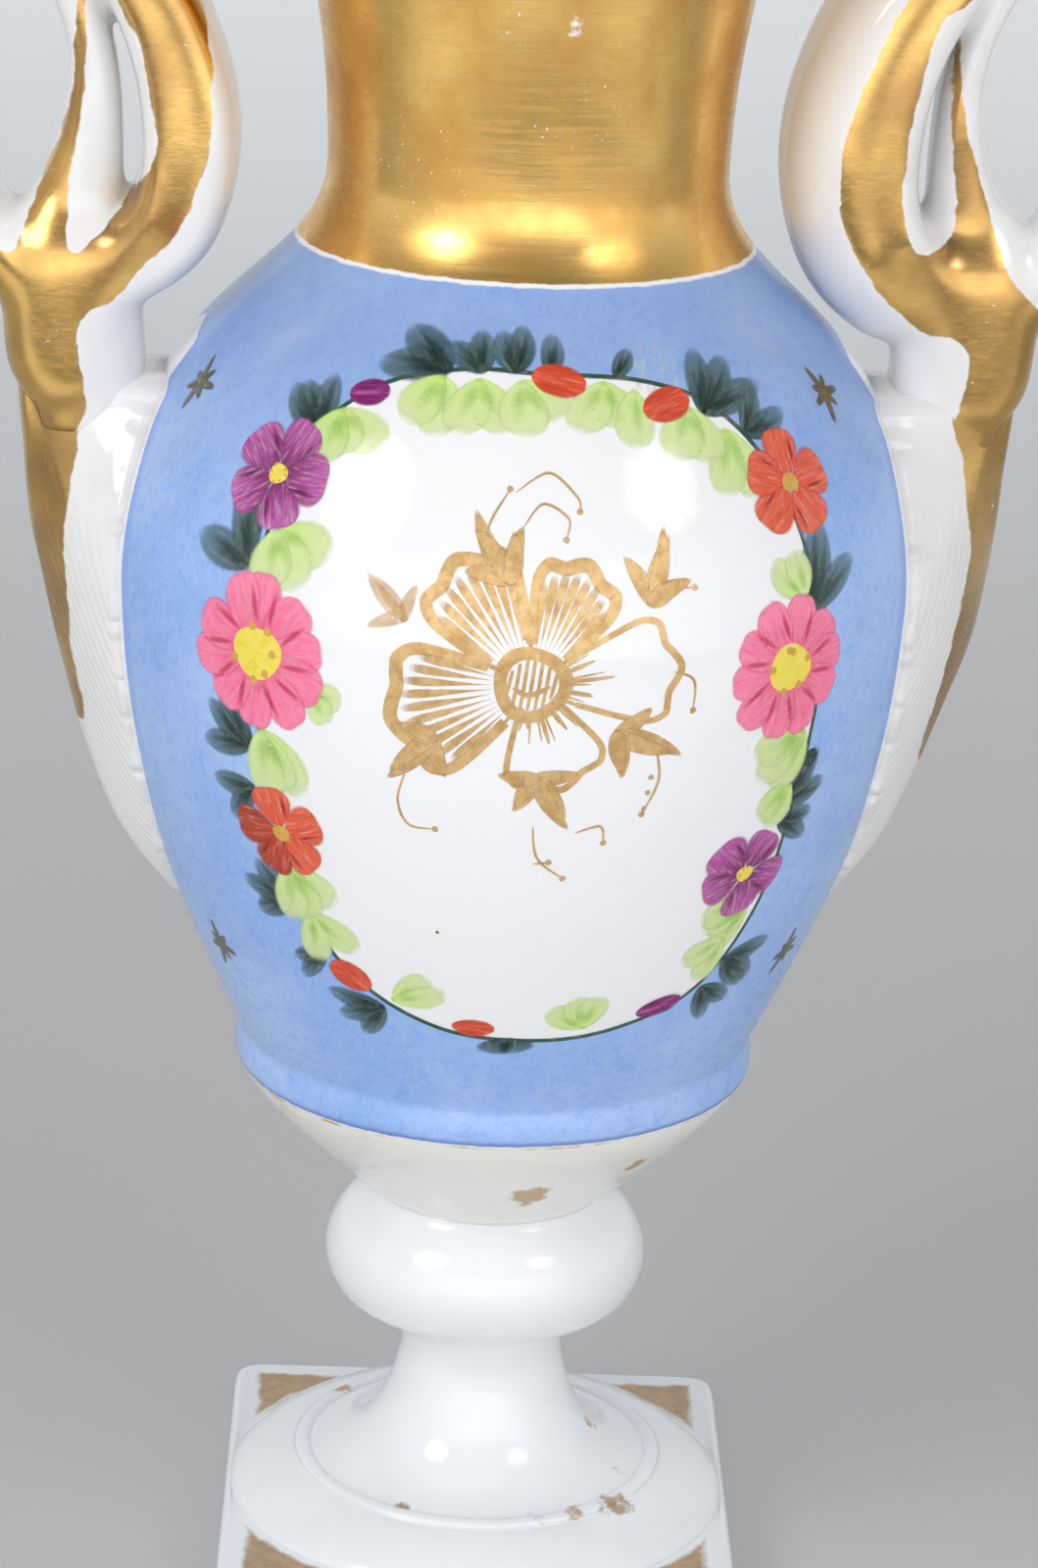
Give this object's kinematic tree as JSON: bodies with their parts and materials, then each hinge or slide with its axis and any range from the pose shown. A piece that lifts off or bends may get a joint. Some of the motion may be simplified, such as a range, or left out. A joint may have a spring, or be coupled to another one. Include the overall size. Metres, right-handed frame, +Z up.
{
  "type": "amphora vase",
  "caption": "Porcelain amphora vase with gilt neck, blue ground, painted flower garland, pierced scroll handles and a square pedestal foot.",
  "frame": {"origin": "middle of the underside of the square plinth, on the surface the vase stands on", "axes": "+Z up along the vase's turning axis, -Y towards the painted front, +X and -X towards the handles"},
  "size_m": [0.1774, 0.126, 0.2909],
  "materials": {
    "vase_glaze": "glossy glaze over a blue ground with gilding and enamel painting",
    "foot_glaze": "glossy white glaze with rubbed gilding"
  },
  "bodies": {
    "root": {"vase_body": "vase_glaze", "pedestal_foot": "foot_glaze"}
  },
  "joints": []
}
